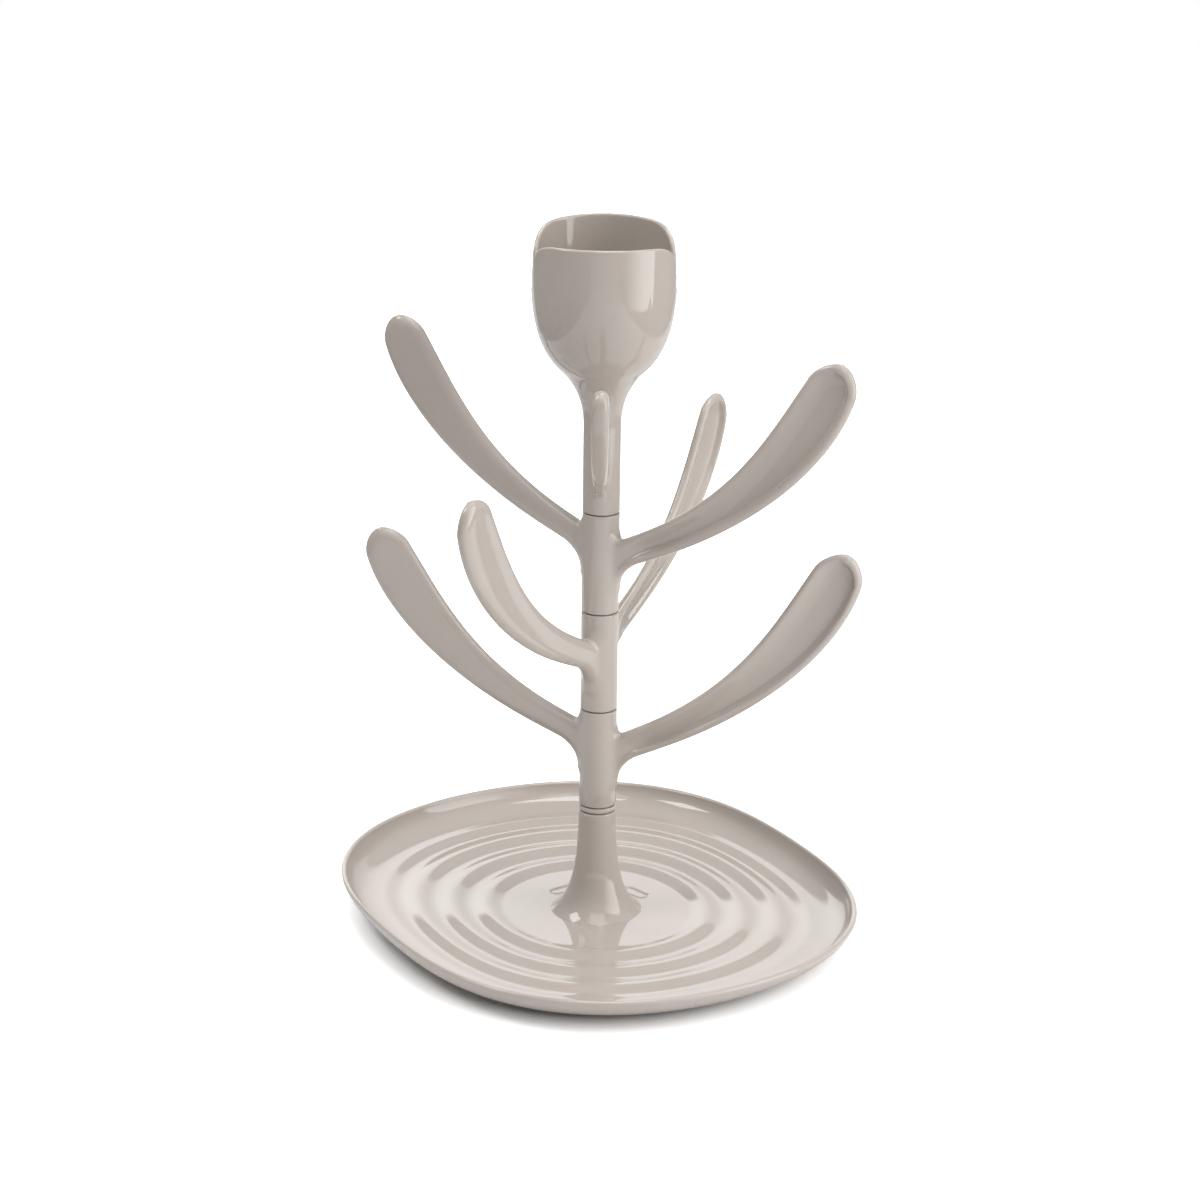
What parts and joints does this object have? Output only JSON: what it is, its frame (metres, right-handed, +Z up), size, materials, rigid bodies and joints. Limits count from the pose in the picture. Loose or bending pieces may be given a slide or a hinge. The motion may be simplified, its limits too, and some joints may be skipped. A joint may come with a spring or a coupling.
{
  "type": "bottle drying rack",
  "caption": "Tree-shaped bottle drying rack: leaf pegs on turning trunk modules, a tulip cup on top and a pebble-shaped drip tray with a rippled floor.",
  "frame": {"origin": "trunk axis at the table plane, under the middle of the tray", "axes": "+Z up along the trunk, -Y towards the viewer of the picture, +X to the viewer's right"},
  "size_m": [0.2146, 0.2304, 0.2928],
  "materials": {
    "plastic": "glossy",
    "pads": "matte"
  },
  "bodies": {
    "base": {"drip_tray": "plastic", "foot_pads": "pads", "stem_foot": "plastic", "stem_collar": "plastic"},
    "lower_module": {"lower_branch": "plastic"},
    "middle_module": {"middle_branch": "plastic"},
    "upper_module": {"upper_branch": "plastic"},
    "cup_module": {"top_cup": "plastic"}
  },
  "joints": [
    {"name": "lower_turn", "type": "hinge", "parent": "base", "child": "lower_module", "pos_m": [0, 0, 0.0556], "axis": [0, 0, 1], "continuous": true},
    {"name": "middle_turn", "type": "hinge", "parent": "lower_module", "child": "middle_module", "pos_m": [0, 0, 0.0976], "axis": [0, 0, 1], "range_deg": [-60, 100]},
    {"name": "upper_turn", "type": "hinge", "parent": "middle_module", "child": "upper_module", "pos_m": [0, 0, 0.1396], "axis": [0, 0, 1], "range_deg": [-86, 72]},
    {"name": "cup_turn", "type": "hinge", "parent": "upper_module", "child": "cup_module", "pos_m": [0, 0, 0.1816], "axis": [0, 0, 1], "continuous": true}
  ]
}
